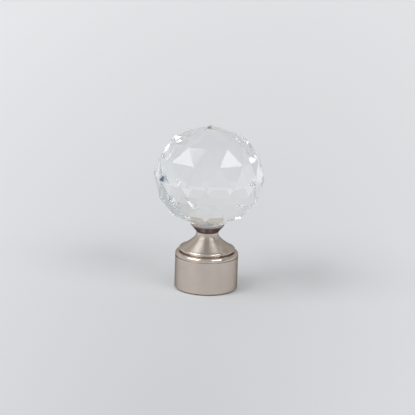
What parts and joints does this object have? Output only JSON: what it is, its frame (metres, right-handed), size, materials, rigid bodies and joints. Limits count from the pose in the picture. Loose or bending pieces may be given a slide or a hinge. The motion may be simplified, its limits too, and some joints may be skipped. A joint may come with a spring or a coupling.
{
  "type": "curtain pole finial",
  "caption": "Curtain pole finial: a clear faceted ball bonded on the flared dish of a turned satin metal cap, whose open cup slips over the end of a round pole.",
  "frame": {"origin": "centre of the cap's open rim, in the plane of the rim", "axes": "+Z along the pole's axis, from the rim up to the ball; +X through a corner of the ball's girdle"},
  "size_m": [0.05, 0.05, 0.0753],
  "materials": {
    "clear_crystal": "polished cut facets, clear, a faint cool tint in the depth",
    "satin_nickel": "satin nickel plate over a turned or die-cast body, fine marks round the axis"
  },
  "bodies": {
    "root": {"crystal_ball": "clear_crystal", "pole_cap": "satin_nickel"}
  },
  "joints": []
}
